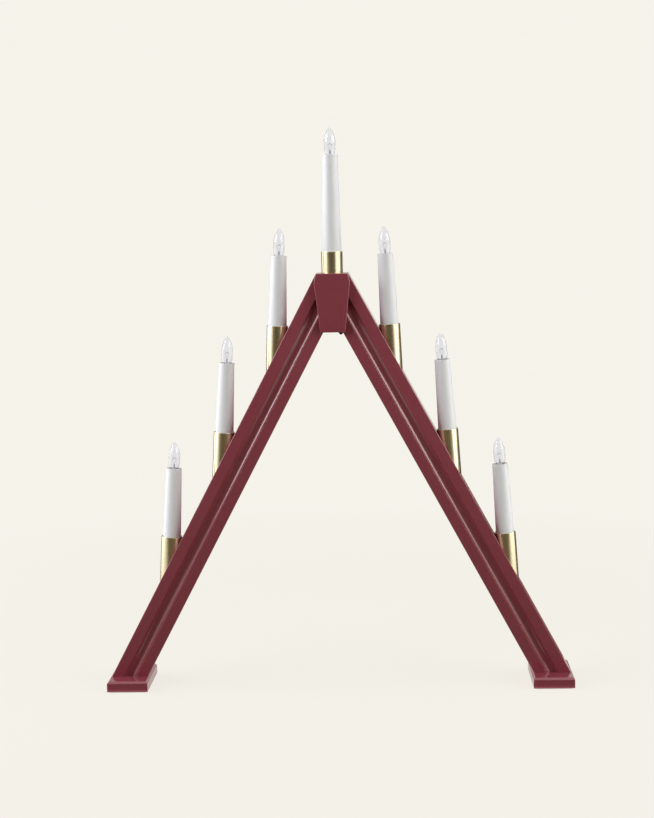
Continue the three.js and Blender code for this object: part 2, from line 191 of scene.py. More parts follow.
def paintFinish(name, turn):
    # satin paint with faint streaks along the grain, which turn lays along the batten
    finish = Finish(name)
    even = finish.place(turn)
    streaks = finish.noise(finish.place(turn, (1, 1, 0.035)), scale=420, detail=4, roughness=0.6)
    cloud = finish.noise(even, scale=35, detail=3, roughness=0.55)
    skin = finish.noise(even, scale=900, detail=2, roughness=0.5)
    base = finish.mix(cloud * paintLook["cloudShare"], paintLook["deep"], paintLook["red"])
    base = finish.mix(streaks * paintLook["streakShare"], base, paintLook["bright"])
    bumps = finish.bump(streaks, depth=0.05, strength=0.5)
    bumps = finish.bump(skin, depth=0.012, strength=0.5, under=bumps)
    return finish.surface({
        "Base Color": base, "Roughness": paintLook["roughness"] + (cloud - 0.5) * paintLook["unevenness"],
        "Specular IOR Level": paintLook["gloss"], "Normal": bumps,
    })


brassLook = {
    "brass": tint(228, 217, 186), "worn": tint(214, 201, 166), "stainShare": 0.5,
    "roughness": 0.25, "unevenness": 0.05,
}


def brassFinish():
    # drawn and polished tube under lacquer: fine lines round it and faint stains
    finish = Finish("polishedBrass")
    lines = finish.noise(finish.place(stretch=(1, 1, 30)), scale=90, detail=2, roughness=0.5)
    stain = finish.noise(finish.place(), scale=120, detail=4, roughness=0.6)
    return finish.surface({
        "Base Color": finish.mix(stain * brassLook["stainShare"], brassLook["brass"], brassLook["worn"]),
        "Metallic": 1.0, "Roughness": brassLook["roughness"] + (stain - 0.4) * brassLook["unevenness"],
        "Normal": finish.bump(lines, depth=0.004, strength=0.4),
    })


candleLook = {
    "white": tint(240, 243, 250), "shade": tint(234, 237, 245), "roughness": 0.3, "unevenness": 0.1,
    "softness": 0.1, "lightDepth": 1.5,
}


def candleFinish():
    # smooth white moulded plastic that lets a little light in
    finish = Finish("candlePlastic")
    cloud = finish.noise(finish.place(stretch=(1, 1, 0.3)), scale=60, detail=3, roughness=0.5)
    return finish.surface({
        "Base Color": finish.mix(cloud, candleLook["white"], candleLook["shade"]),
        "Roughness": candleLook["roughness"] + cloud * candleLook["unevenness"],
        "Subsurface Weight": candleLook["softness"], "Subsurface Radius": (1.0, 0.8, 0.7),
        "Subsurface Scale": candleLook["lightDepth"] * mm,
        "Normal": finish.bump(cloud, depth=0.02, strength=0.3),
    })


def glassFinish(name, colour, roughness, clear):
    # blown glass with faint waves; what isn't clear is a pale haze
    finish = Finish(name)
    waves = finish.noise(finish.place(stretch=(1, 1, 0.25)), scale=160, detail=2, roughness=0.4)
    return finish.surface({
        "Base Color": colour, "Transmission Weight": clear, "Roughness": roughness, "IOR": 1.5,
        "Normal": finish.bump(waves, depth=0.02, strength=0.15),
    })


def plainFinish(name, light, dark, roughness, metallic, grain, depth):
    # a moulded, plated or rubber surface: two close colours in a fine cloud, with a slight skin
    finish = Finish(name)
    cloud = finish.noise(finish.place(), grain, detail=4, roughness=0.6)
    return finish.surface({
        "Base Color": finish.mix(cloud, dark, light), "Metallic": metallic,
        "Roughness": roughness + (cloud - 0.5) * 0.15, "Normal": finish.bump(cloud, depth, strength=0.5),
    })


plainLooks = {
    # light and dark colour, roughness, metallic, how fine the cloud is, and the skin's depth in millimetres
    "lampCement": (tint(224, 222, 216), tint(208, 205, 198), 0.7, 0.0, 700, 0.03),
    "socketPlastic": (tint(236, 232, 224), tint(226, 221, 211), 0.45, 0.0, 300, 0.01),
    "threadBrass": (tint(222, 196, 140), tint(190, 160, 104), 0.3, 1.0, 500, 0.01),
    "nickelPlate": (tint(208, 204, 196), tint(176, 172, 164), 0.25, 1.0, 600, 0.01),
    "solder": (tint(150, 151, 153), tint(118, 119, 122), 0.4, 1.0, 700, 0.05),
    "beadGlass": (tint(212, 210, 216), tint(190, 188, 196), 0.15, 0.0, 800, 0.01),
    "tungsten": (tint(178, 177, 178), tint(150, 149, 150), 0.35, 1.0, 900, 0.01),
    "zincSteel": (tint(176, 176, 172), tint(146, 146, 144), 0.32, 1.0, 500, 0.01),
    "cableRubber": (tint(66, 54, 46), tint(48, 40, 34), 0.45, 0.0, 260, 0.03),
    "blockPlastic": (tint(62, 52, 46), tint(50, 42, 38), 0.42, 0.0, 900, 0.02),
    "padFelt": (tint(74, 78, 72), tint(44, 48, 44), 0.95, 0.0, 1400, 0.25),
}
spread = math.radians(28.16)  # that each batten leans from upright
paint = {
    "left": paintFinish("redPaintLeft", -spread),
    "right": paintFinish("redPaintRight", spread),
    "level": paintFinish("redPaintLevel", math.pi / 2),
    "upright": paintFinish("redPaintUpright", 0.0),
}
brass = brassFinish()
candleWhite = candleFinish()
lampGlass = glassFinish("lampGlass", tint(249, 250, 255), roughness=0.0, clear=0.97)
stemGlass = glassFinish("stemGlass", tint(240, 239, 243), roughness=0.1, clear=0.35)
plain = {name: plainFinish(name, *look) for name, look in plainLooks.items()}
print("materials made")


# Mesh building

shading = {"weld": 0.0005, "crease": 32}  # millimetres between points that merge; degrees of a sharp edge


def quads(rings, around, joinRings=False):
    # neighbouring points of neighbouring rings make a face, and each ring closes on itself
    ring = np.arange(rings if joinRings else rings - 1)[:, None]
    step = np.arange(around)[None, :]
    after, beside = (ring + 1) % rings, (step + 1) % around
    corners = (ring * around + step, ring * around + beside, after * around + beside, after * around + step)
    return np.stack(np.broadcast_arrays(*corners), -1).reshape(-1, 4)


def buildMesh(points, faces, creaseAngle=shading["crease"]):
    mesh = bpy.data.meshes.new("shape")
    mesh.from_pydata((np.asarray(points).reshape(-1, 3) * mm).tolist(), [], [list(face) for face in faces])
    tidyMesh(mesh, creaseAngle)
    return mesh


def tidyMesh(mesh, creaseAngle=shading["crease"]):
    # doubled points are merged, faces turned outwards, and edges over the angle kept sharp
    work = bmesh.new()
    work.from_mesh(mesh)
    bmesh.ops.remove_doubles(work, verts=work.verts, dist=shading["weld"] * mm)
    bmesh.ops.recalc_face_normals(work, faces=work.faces)
    work.to_mesh(mesh)
    work.free()
    mesh.polygons.foreach_set("use_smooth", np.ones(len(mesh.polygons), bool))
    mesh.set_sharp_from_angle(angle=math.radians(creaseAngle))


def roundEdges(piece, width, segments, angle):
    # curves each edge that turns more than the angle
    edge = piece.modifiers.new("arrises", "BEVEL")
    edge.width, edge.segments, edge.angle_limit = width * mm, segments, math.radians(angle)
    edge.limit_method = "ANGLE"


def addPiece(name, mesh, finish, body, stands=(), edges=None):
    piece = bpy.data.objects.new(name, mesh)
    bpy.context.scene.collection.objects.link(piece)
    mesh.name = name
    mesh.materials.clear()
    mesh.materials.append(finish)
    if edges:
        roundEdges(piece, *edges)
    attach(piece, body)
    if stands:
        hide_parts(*stands)
    return piece


def carve(shell, cutters, edges=None):
    # the shell with its edges curved and every cutter taken out of it
    scene = bpy.context.scene.collection
    tools = bpy.data.collections.new("cutters")
    scene.children.link(tools)
    block = bpy.data.objects.new("block", shell)
    scene.objects.link(block)
    for cutter in cutters:
        tools.objects.link(bpy.data.objects.new("cutter", cutter))
    if edges:
        roundEdges(block, *edges)
    holes = block.modifiers.new("holes", "BOOLEAN")
    holes.operand_type, holes.solver = "COLLECTION", "EXACT"
    holes.collection = tools
    depsgraph = bpy.context.evaluated_depsgraph_get()
    mesh = bpy.data.meshes.new_from_object(block.evaluated_get(depsgraph), depsgraph=depsgraph)
    for spare in (*tools.objects, block):
        bpy.data.objects.remove(spare)
    bpy.data.collections.remove(tools)
    tidyMesh(mesh)
    return mesh


def carried(points, matrix):
    # points of the matrix's own frame, in the object's frame
    return np.asarray(points, float) @ matrix[:3, :3].T + matrix[:3, 3]


def turned(profile, matrix, sides, joined=False, ridge=None, creaseAngle=shading["crease"]):
    # each point of the profile [radius, height] goes round the Z axis. Joined profiles close on
    # themselves, and the others end on the axis. A ridge, [pitch, depth], winds up the wall, and the
    # profile's third column says how much of it each point takes
    profile = np.asarray(profile, float)
    angle = np.linspace(0, 2 * np.pi, sides, endpoint=False)[:, None]
    radius, height = profile[None, :, 0], profile[None, :, 1]
    if ridge:
        pitch, depth = ridge
        wave = 0.5 + 0.5 * np.cos(2 * np.pi * height / pitch - angle)
        radius = radius - profile[None, :, 2] * depth * wave
    x, y = radius * np.cos(angle), radius * np.sin(angle)
    points = np.stack([x, y, np.broadcast_to(height, x.shape)], -1)
    count = len(profile)
    faces = quads(sides, count, joinRings=True)
    if not joined:
        faces = faces[faces[:, 0] % count != count - 1]
    return buildMesh(carried(points, matrix), faces, creaseAngle)


def pin(radius, low, high):
    # the profile of a plain round pin
    return [(0, low), (radius, low), (radius, high), (0, high)]


easing = {"curve": 0.45, "hold": 0.04, "apart": 1e-6}  # shares of a corner's shorter side; least step


def eased(corners, radius, steps=5, closed=True, hold=0.15):
    # each corner becomes a short curve: start*(1-t)^2 + corner*2t(1-t) + end*t^2. A point a little
    # before and after it keeps the shading of the flat stretches true
    corners = np.asarray(corners, float)
    radius = np.broadcast_to(np.asarray(radius, float), len(corners)).copy()
    if not closed:
        radius[[0, -1]] = 0
    before, after = np.roll(corners, 1, 0) - corners, np.roll(corners, -1, 0) - corners
    longBefore, longAfter = np.linalg.norm(before, axis=1), np.linalg.norm(after, axis=1)
    shorter = np.minimum(longBefore, longAfter)
    reach = np.minimum(radius, easing["curve"] * shorter)[:, None]
    before, after = before / longBefore[:, None], after / longAfter[:, None]
    start, end = corners + before * reach, corners + after * reach
    t = np.linspace(0, 1, steps)[:, None, None]
    curve = start * (1 - t) ** 2 + corners * 2 * t * (1 - t) + end * t ** 2
    spare = np.minimum(hold, easing["hold"] * shorter)[:, None] * (reach > 0)
    curve = np.concatenate([(start + before * spare)[None], curve, (end + after * spare)[None]])
    points = curve.transpose(1, 0, 2).reshape(-1, corners.shape[1])
    if closed:
        fresh = np.linalg.norm(points - np.roll(points, 1, 0), axis=1) > easing["apart"]
    else:
        fresh = np.r_[True, np.linalg.norm(np.diff(points, axis=0), axis=1) > easing["apart"]]
    return points[fresh]


def arc(centre, radius, start, end, steps, holds=(0.0, 0.0)):
    # points round a centre, with one more along the tangent at each end that has a hold
    angle = np.radians(np.linspace(start, end, steps))
    points = np.asarray(centre) + radius * np.stack([np.cos(angle), np.sin(angle)], -1)
    way = np.sign(end - start)
    tangent = way * np.stack([-np.sin(angle), np.cos(angle)], -1)
    first = points[:1] - tangent[:1] * holds[0]
    last = points[-1:] + tangent[-1:] * holds[1]
    return np.concatenate([first[: bool(holds[0])], points, last[: bool(holds[1])]])


def circle(centre, radius, sides):
    return arc(centre, radius, 0, 360, sides + 1)[:-1]


def bezier(first, second, third, last, steps):
    # a cubic curve, without its first point
    t = np.linspace(0, 1, steps + 1)[1:, None]
    ends = np.outer((1 - t) ** 3, first) + np.outer(t ** 3, last)
    return ends + np.outer(3 * t * (1 - t) ** 2, second) + np.outer(3 * t * t * (1 - t), third)


slant = (0.8, 0.36, 0.48)  # a direction that no tube runs in


def tube(path, radius, sides=16):
    # a ring of points square to the path at each of its points, and a flat end on each end
    path = np.asarray(path, float)
    along = np.gradient(path, axis=0)
    along /= np.linalg.norm(along, axis=1)[:, None]
    across = np.cross(along, slant)
    across /= np.linalg.norm(across, axis=1)[:, None]
    beside = np.cross(along, across)
    angle = np.linspace(0, 2 * np.pi, sides, endpoint=False)[None, :, None]
    points = path[:, None] + radius * (across[:, None] * np.cos(angle) + beside[:, None] * np.sin(angle))
    faces = quads(len(path), sides).tolist()
    faces += [list(range(sides)), list(range((len(path) - 1) * sides, len(path) * sides))]
    return points, faces


def prism(outline, low, high):
    # an outline in two dimensions, given depth
    outline = np.asarray(outline, float)
    count = len(outline)
    levels = [np.column_stack([outline, np.full(count, level)]) for level in (low, high)]
    faces = quads(2, count).tolist() + [list(range(count)), list(range(count, 2 * count))]
    return np.concatenate(levels), faces


# The battens. Edges are given as the width of their curve, its segments and the least angle

batten = {
    "width": 34, "depth": 30, "arris": 0.7, "apexFlat": 32.7,
    "coveWidth": 11.6, "coveDepth": 3.8, "coveLip": 0.4, "hold": 0.4,
    "channelWidth": 8, "channelDepth": 3, "channelStart": 36, "channelEnd": 396, "endEdges": (0.35, 2, 50),
}
legs = {"left": -1, "right": 1}  # which way from the middle each leg stands
legLow, legHigh = (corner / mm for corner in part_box("leg_right"))
apexHeight, footTop = legHigh.z, legLow.z
backFace, middle = batten["depth"] / 2, batten["width"] / 2
sine, cosine = math.sin(spread), math.cos(spread)


def legPoint(side, across, back, down):
    # across from the batten's outer face, towards the back, and down it from the corner of the flat top
    across, back, down = np.broadcast_arrays(*(np.asarray(value, float) for value in (across, back, down)))
    x = batten["apexFlat"] / 2 + down * sine - across * cosine
    z = apexHeight - down * cosine - across * sine
    return np.stack([side * x, back, z], -1)


coveRadius = (batten["coveWidth"] ** 2 / 4 + batten["coveDepth"] ** 2) / (2 * batten["coveDepth"])


def battenSection():
    # arcs for the four arrises and for the cove with its two soft lips, joined by straight lines
    width, arris, lip = batten["width"], batten["arris"], batten["coveLip"]
    depth, radius, hold = batten["coveDepth"], coveRadius, batten["hold"]
    front = -backFace
    rise = radius + lip - depth
    reach = math.sqrt((radius + lip) ** 2 - rise ** 2)
    lean = math.degrees(math.atan2(rise, reach))
    return np.concatenate([
        arc((arris, front + arris), arris, 180, 270, 6, (hold, hold)),
        arc((middle - reach, front + lip), lip, 270, 360 - lean, 5, (hold, 0)),
        arc((middle, front + depth - radius), radius, 180 - lean, lean, 24)[1:-1],
        arc((middle + reach, front + lip), lip, 180 + lean, 270, 5, (0, hold)),
        arc((width - arris, front + arris), arris, 270, 360, 6, (hold, hold)),
        arc((width - arris, backFace - arris), arris, 0, 90, 6, (hold, hold)),
        arc((arris, backFace - arris), arris, 90, 180, 6, (hold, hold)),
    ])


def withCrossings(loop, across):
    # the loop with a point added where it passes this distance across, in the cove and on the back face,
    # and begun at the first of them
    after = np.roll(loop, -1, 0)
    passes = np.flatnonzero((loop[:, 0] - across) * (after[:, 0] - across) < 0)
    share = (across - loop[passes, 0]) / (after[passes, 0] - loop[passes, 0])
    fresh = loop[passes] + share[:, None] * (after[passes] - loop[passes])
    coveCentre = batten["coveDepth"] - backFace - coveRadius
    fresh[0, 1] = coveCentre + math.sqrt(coveRadius ** 2 - (across - middle) ** 2)
    loop = np.insert(loop, passes + 1, fresh, 0)
    found = passes + 1 + np.arange(len(passes))
    return np.roll(loop, -found[0], 0), found[1] - found[0]


def battenShell(side):
    # the section carried down the leg, from the flat top or the mitre to the foot
    loop, turn = withCrossings(battenSection(), batten["apexFlat"] / 2 * cosine)
    across, back = loop.T
    flatTop = -across * sine / cosine
    mitre = (across * cosine - batten["apexFlat"] / 2) / sine
    foot = (apexHeight - footTop - across * sine) / cosine
    points = legPoint(side, across, back, np.stack([np.maximum(flatTop, mitre), foot]))
    count = len(loop)
    faces = quads(2, count).tolist() + [list(range(count, 2 * count))]
    faces += [list(range(turn + 1)), [*range(turn, count), 0]]
    return buildMesh(points, faces)


def channelCutter(side):
    # a routed channel: straight sides and round ends
    half = batten["channelWidth"] / 2
    start = arc((middle, batten["channelStart"] + half), half, 180, 360, 17)
    end = arc((middle, batten["channelEnd"] - half), half, 0, 180, 17)
    across, down = np.concatenate([start, end]).T
    back = np.array([[backFace - batten["channelDepth"]], [batten["depth"]]])
    count = len(across)
    faces = quads(2, count).tolist() + [list(range(count)), list(range(count, 2 * count))]
    return buildMesh(legPoint(side, across, back, down), faces)


# The candles' places, from the joints that screw the lamps in and out

candle = {"cupFit": 0.25, "seatGap": 0.3, "boreRadius": 4.5, "boreDrop": 10}


def toArray(matrix):
    return np.array([list(row) for row in matrix])


def candlePlace(joint):
    # a frame with its origin in the cup's rim and Z up the candle, and how far each part reaches in it
    axis = Vector(joint["axis"])
    turn = Vector((0, 0, 1)).rotation_difference(axis).to_matrix().to_4x4()
    turn.translation = Vector(joint["pos_m"]) / mm
    name = joint["name"].removeprefix("screw_")
    place = {"name": name, "matrix": toArray(turn), "side": np.sign(joint["pos_m"][0])}
    for part in ("cup", "candle_sleeve"):
        mesh = frame["nodes"][f"{part}_{name}"].data
        points = np.array([vertex.co for vertex in mesh.vertices]) / mm
        local = (points - place["matrix"][:3, 3]) @ place["matrix"][:3, :3]
        place[part] = (local[:, 2].min(), local[:, 2].max(), np.hypot(local[:, 0], local[:, 1]).max())
    return place


def moved(place, height):
    # the candle's frame, with its origin this far up the candle
    matrix = place["matrix"].copy()
    matrix[:3, 3] += matrix[:3, 2] * height
    return matrix


def boreTurn(place):
    # how high on the candle the bore under its cup turns to the back
    return place["cup"][0] - candle["seatGap"] - candle["boreDrop"]


places = {}
for joint in frame["joints"]:
    if joint["name"].startswith("screw_"):
        places[joint["name"].removeprefix("screw_")] = candlePlace(joint)
top = places["top"]


def legPlaces(word):
    return [places[f"{word}_{row}"] for row in ("upper", "middle", "lower")]


def cupHoles(place):
    # the hole that takes the cup, and the narrow bore under it, which goes on down through the apex or,
    # on a side candle, turns to the back
    bottom, _, radius = place["cup"]
    hole, seat, bore = radius + candle["cupFit"], bottom - candle["seatGap"], candle["boreRadius"]
    turn = boreTurn(place)
    reach = -3 * batten["width"] if place is top else turn - bore
    cutters = [
        turned(pin(hole, seat, batten["width"]), place["matrix"], sides=96),
        turned(pin(bore, reach, bottom), place["matrix"], sides=48),
    ]
    if place is not top:
        lying = moved(place, turn) @ toArray(Matrix.Rotation(-math.pi / 2, 4, "X"))
        cutters.append(turned(pin(bore, 0, batten["depth"]), lying, sides=48))
    return cutters


footShape = {"reveal": 2, "depth": 70, "chamfer": 2, "edges": (0.35, 3, 30), "pad": 1}
footHalf = batten["width"] / cosine / 2
footMiddle = batten["apexFlat"] / 2 + (apexHeight - footTop) * sine / cosine - footHalf
screwHole = {"radius": 2.3, "headRadius": 4.3, "headHigh": 1.6, "neck": 4.0, "wallHigh": 38, "tip": 40}


def screwCutter(side):
    # a countersunk clearance hole, up from the underside of the foot
    matrix = np.eye(4)
    matrix[0, 3] = side * footMiddle
    radius, head = screwHole["radius"], screwHole["headRadius"]
    profile = [
        (0, 0), (head, 0), (head, screwHole["headHigh"]), (radius, screwHole["neck"]),
        (radius, screwHole["wallHigh"]), (0, screwHole["tip"]),
    ]
    return turned(profile, matrix, sides=32)


def addBattens():
    for word, side in legs.items():
        cutters = [channelCutter(side), screwCutter(side)]
        for place in places.values():
            if place is top or place["side"] == side:
                cutters += cupHoles(place)
        mesh = carve(battenShell(side), cutters, batten["endEdges"])
        addPiece(f"batten_{word}", mesh, paint[word], "holder", [f"leg_{word}"])
    print("battens made")


# The board over the mitre, and the feet

board = {
    "drop": 59.9, "shoulderDrop": 8.4, "shoulderWidth": 36.8, "lowerWidth": 25.5, "thickness": 6,
    "edges": (0.6, 3, 15),
}


def addBoard():
    right = [
        (batten["apexFlat"] / 2, apexHeight),
        (board["shoulderWidth"] / 2, apexHeight - board["shoulderDrop"]),
        (board["lowerWidth"] / 2, apexHeight - board["drop"]),
    ]
    outline = right + [(-x, z) for x, z in reversed(right)]
    points, faces = prism(outline, backFace, backFace + board["thickness"])
    mesh = buildMesh(points[:, [0, 2, 1]] * (1, -1, 1), faces)
    addPiece("apex_board", mesh, paint["upright"], "holder", ["apex_plate"], board["edges"])
    print("board made")


def footBlock(side):
    # a block whose top edge is chamfered all round: the same rectangle at three heights, the last drawn in
    wide, deep = footHalf + footShape["reveal"], footShape["depth"] / 2
    low, high, cut = footShape["pad"], footTop, footShape["chamfer"]
    inset = np.array([0, 0, cut])[:, None]
    x = np.array([-1, 1, 1, -1]) * (wide - inset)
    y = np.array([-1, -1, 1, 1]) * (deep - inset)
    z = np.broadcast_to(np.array([low, high - cut, high])[:, None], x.shape)
    points = np.stack([x + side * footMiddle, y, z], -1)
    faces = quads(3, 4).tolist() + [[0, 1, 2, 3], [8, 9, 10, 11]]
    return buildMesh(points, faces)


def addFeet():
    for word, side in legs.items():
        mesh = carve(footBlock(side), [screwCutter(side)])
        stands = [f"foot_{word}"]
        addPiece(f"foot_block_{word}", mesh, paint["level"], "holder", stands, footShape["edges"])
        frame["nodes"][f"foot_pad_{word}"].data.materials[0] = plain["padFelt"]
        frame["nodes"][f"foot_screw_{word}"].data.materials[0] = plain["zincSteel"]
    print("feet made")


# Cups and candles. The matrix called upper has its origin in the middle of the sleeve's top rim, so that
# what is inside the candle lies below 0

cupShape = {"wall": 0.6, "floor": 0.8, "floorHole": 4, "lip": 0.28}


def addCup(place):
    low, high, radius = place["cup"]
    inner, floor, hole = radius - cupShape["wall"], low + cupShape["floor"], cupShape["floorHole"]
    corners = [(hole, low), (radius, low), (radius, high), (inner, high), (inner, floor), (hole, floor)]
    mesh = turned(eased(corners, cupShape["lip"]), place["matrix"], sides=128, joined=True)
    name = place["name"]
    addPiece(f"brass_cup_{name}", mesh, brass, "holder", [f"cup_{name}"])


sleeve = {
    "topRadius": 8, "footRadius": 10.1, "taper": 98, "length": 124.2, "wall": 1.1,
    "ledge": -25.3, "ledgeHeight": 2, "ledgeHole": 5.6,
}


def addSleeve(place, upper):
    # straight at the foot and tapered above it, with a ring inside
    wall, rim, foot = sleeve["wall"], sleeve["topRadius"], sleeve["footRadius"]
    low, taper = -sleeve["length"], -sleeve["taper"]
    ledge, under, hole = sleeve["ledge"], sleeve["ledge"] - sleeve["ledgeHeight"], sleeve["ledgeHole"]
    rows = np.array([
        # radius, height and the curve of each corner
        (foot - wall, low, 0.3), (foot, low, 0.3), (foot, taper, 0.5), (rim, 0, 0.45), (rim - wall, 0, 0.3),
        (rim - wall, ledge, 0.2), (hole, ledge, 0.2), (hole, under, 0.2), (rim - wall, under, 0.2),
        (foot - wall, taper, 0.5),
    ])
    mesh = turned(eased(rows[:, :2], rows[:, 2]), upper, sides=128, joined=True)
    name = place["name"]
    addPiece(f"candle_tube_{name}", mesh, candleWhite, f"candle_{name}", [f"candle_sleeve_{name}"])


socket = {
    "radius": 6.55, "low": -23, "high": -0.2, "bore": 4.95, "boreFloor": -13, "curve": 0.3,
    "linerGap": 0.02, "liner": 0.14, "linerRise": 0.3, "linerTop": -1.6, "linerRidge": 0.1, "linerRings": 70,
}
thread = {"pitch": 1.814, "ringsPerTurn": 12, "sides": 64}


def addSocket(place, upper):
    # an insulating body, and the threaded shell that lines its bore
    low, high, bore, floor = (socket[key] for key in ("low", "high", "bore", "boreFloor"))
    radius = socket["radius"]
    corners = [(0, low), (radius, low), (radius, high), (bore, high), (bore, floor), (0, floor)]
    mesh = turned(eased(corners, socket["curve"], closed=False), upper, sides=96)
    name = place["name"]
    body = f"candle_{name}"
    addPiece(f"socket_body_{name}", mesh, plain["socketPlastic"], body, [f"lamp_socket_{name}"])
    outside = bore - socket["linerGap"]
    heights = np.linspace(floor + socket["linerRise"], socket["linerTop"], socket["linerRings"])
    inside = np.full_like(heights, outside - socket["liner"])
    wall = np.column_stack([inside, heights, np.ones_like(heights)])
    back = [(outside, heights[-1], 0), (outside, heights[0], 0)]
    ridge = (thread["pitch"], socket["linerRidge"])
    mesh = turned(np.concatenate([wall, back]), upper, thread["sides"], joined=True, ridge=ridge)
    addPiece(f"socket_shell_{name}", mesh, plain["threadBrass"], body)


lamp = {
    "capRadius": 4.65, "capWall": 0.75, "capLow": -10.4, "capHigh": -1, "capHole": 2.2, "capFlat": 3.5,
    "capCone": 0.7, "coneHigh": 0.2, "floorHigh": 0.4, "wallStart": 0.6, "rim": 0.1, "hem": 0.3,
    "threadDepth": 0.34, "threadFade": 0.8,
    "glassRadius": 6.0, "glassWall": 0.6, "glassHeight": 27.4, "neckRadius": 4.0, "neckLow": -5,
    "shoulder": 0.6, "widest": 9, "straight": 13, "nose": 5, "tipReach": 2.6,
}


def addCap(place, upper):
    # the threaded cap: a ridge winds up its wall, fading out at the rim and at the bottom
    low, high, radius, hole = (lamp[key] for key in ("capLow", "capHigh", "capRadius", "capHole"))
    start, end, inner = low + lamp["wallStart"], high - lamp["rim"], radius - lamp["capWall"]
    heights = np.linspace(start, end, int((high - low) / thread["pitch"] * thread["ringsPerTurn"]))
    toEnd = np.minimum(heights - heights[0], heights[-1] - heights)
    fade = np.clip(toEnd / lamp["threadFade"], 0, 1)
    wall = np.column_stack([np.full_like(heights, radius) - lamp["hem"] * (1 - fade), heights, fade])
    cone = (radius - lamp["capCone"], low + lamp["coneHigh"], 0)
    bottom = [(hole, low, 0), (lamp["capFlat"], low, 0), cone]
    inside = [(inner, end, 0), (inner, start, 0), (hole, low + lamp["floorHigh"], 0)]
    profile, ridge = np.concatenate([bottom, wall, inside]), (thread["pitch"], lamp["threadDepth"])
    mesh = turned(profile, upper, thread["sides"], joined=True, ridge=ridge, creaseAngle=60)
    name = place["name"]
    addPiece(f"lamp_thread_{name}", mesh, plain["nickelPlate"], f"lamp_{name}", [f"lamp_cap_{name}"])


def glassWall(inset):
    # from the neck out over the cap, straight up, then drawn in to the tip
    neck, side = lamp["neckRadius"] - inset, lamp["glassRadius"] - inset
    tip, shoulder = lamp["glassHeight"] - inset, lamp["shoulder"]
    widest, straight = lamp["widest"], lamp["straight"]
    start = np.array([[neck, lamp["neckLow"]], [neck, -shoulder]])
    flare = bezier((neck, -shoulder), (neck, -shoulder / 2), (side, -shoulder / 4), (side, widest), 16)
    nose = bezier((side, straight), (side, straight + lamp["nose"]), (lamp["tipReach"], tip), (0, tip), 22)
    return np.concatenate([start, flare, [[side, straight]], nose])


def addGlass(place, upper):
    profile = np.concatenate([glassWall(lamp["glassWall"])[::-1], glassWall(0)])
    mesh = turned(profile, upper, sides=96, creaseAngle=60)
    name = place["name"]
    addPiece(f"lamp_bulb_{name}", mesh, lampGlass, f"lamp_{name}", [f"lamp_glass_{name}"])


mount = {
    "flareLow": -1.2, "flareRadius": 3.3, "flareEdge": 0.4, "flareHigh": 0.6, "flareCurve": 0.4,
    "stemRadius": 0.9, "stemHigh": 2.2,
    "beadRadius": 1.0, "beadTopRadius": 0.7, "beadSink": 0.2, "beadHigh": 4.6, "beadCurve": 0.5,
    "collarGap": 0.03, "collarRadius": 4.75, "collarHeight": 1.0, "collarSlope": 0.3, "collarCurve": 0.15,
}


def addMount(place, upper):
    # the collar of cement between glass and cap, and a flared glass stem with a bead on it
    low, flare, stem, high = (mount[key] for key in ("flareLow", "flareRadius", "stemRadius", "stemHigh"))
    bead, beadTop, beadHigh = mount["beadRadius"], mount["beadTopRadius"], mount["beadHigh"]
    neck, collar = lamp["neckRadius"] + mount["collarGap"], mount["collarRadius"]
    collarTop = low + mount["collarHeight"]
    ring = [(neck, low), (collar, low), (collar, collarTop - mount["collarSlope"]), (neck, collarTop)]
    ring = turned(eased(ring, mount["collarCurve"]), upper, sides=48, joined=True)
    edge, flareHigh = low + mount["flareEdge"], mount["flareHigh"]
    foot = [(0, low), (flare, low), (flare, edge), (stem, flareHigh), (stem, high), (0, high)]
    foot = turned(eased(foot, mount["flareCurve"], closed=False), upper, sides=32)
    drop = [(0, high - mount["beadSink"]), (bead, high), (beadTop, beadHigh), (0, beadHigh)]
    drop = turned(eased(drop, mount["beadCurve"], closed=False), upper, sides=32)
    name = place["name"]
    body = f"lamp_{name}"
    addPiece(f"lamp_collar_{name}", ring, plain["lampCement"], body)
    addPiece(f"lamp_stem_{name}", foot, stemGlass, body)
    addPiece(f"lamp_bead_{name}", drop, plain["beadGlass"], body)


filament = {
    # near and far are the wires' distances from the middle, at the bead and at their tops
    "wire": 0.1, "wireSink": 0.6, "wireHigh": 9.5, "near": 0.45, "far": 2.1, "flare": 1.6,
    "coil": 0.08, "turns": 15, "coilRadius": 0.3, "sink": 0.2, "rise": 1.5,
}


def addFilament(place, upper):
    # two wires that part as they rise, and the filament: a coil along an arch between their ends
    low, high = mount["beadHigh"] - filament["wireSink"], filament["wireHigh"]
    near, far, radius = filament["near"], filament["far"], filament["coilRadius"]
    name = place["name"]
    body = f"lamp_{name}"
    t = np.linspace(0, 1, 12)
    for word, side in (("a", -1), ("b", 1)):
        x = side * (near + (far - near) * t ** filament["flare"])
        path = np.column_stack([x, 0 * t, low + (high - low) * t])
        mesh = buildMesh(*tube(carried(path, upper), filament["wire"], sides=8))
        addPiece(f"lamp_wire_{word}_{name}", mesh, plain["nickelPlate"], body)
    s = np.linspace(0, 1, 8 * filament["turns"] + 1)
    angle = 2 * np.pi * filament["turns"] * s
    x = far * (2 * s - 1)
    y = radius * np.cos(angle)
    z = high - filament["sink"] + filament["rise"] * (1 - (2 * s - 1) ** 2) + radius * np.sin(angle)
    mesh = buildMesh(*tube(carried(np.column_stack([x, y, z]), upper), filament["coil"], sides=6))
    addPiece(f"lamp_filament_{name}", mesh, plain["tungsten"], body)


contact = {
    # heights above the floor of the socket's bore
    "low": 0.3, "shelf": 1.5, "high": 2.3,
    "discRadius": 4.0, "discCurve": 0.2, "tipRadius": 1.9, "tipCurve": 0.7,
}


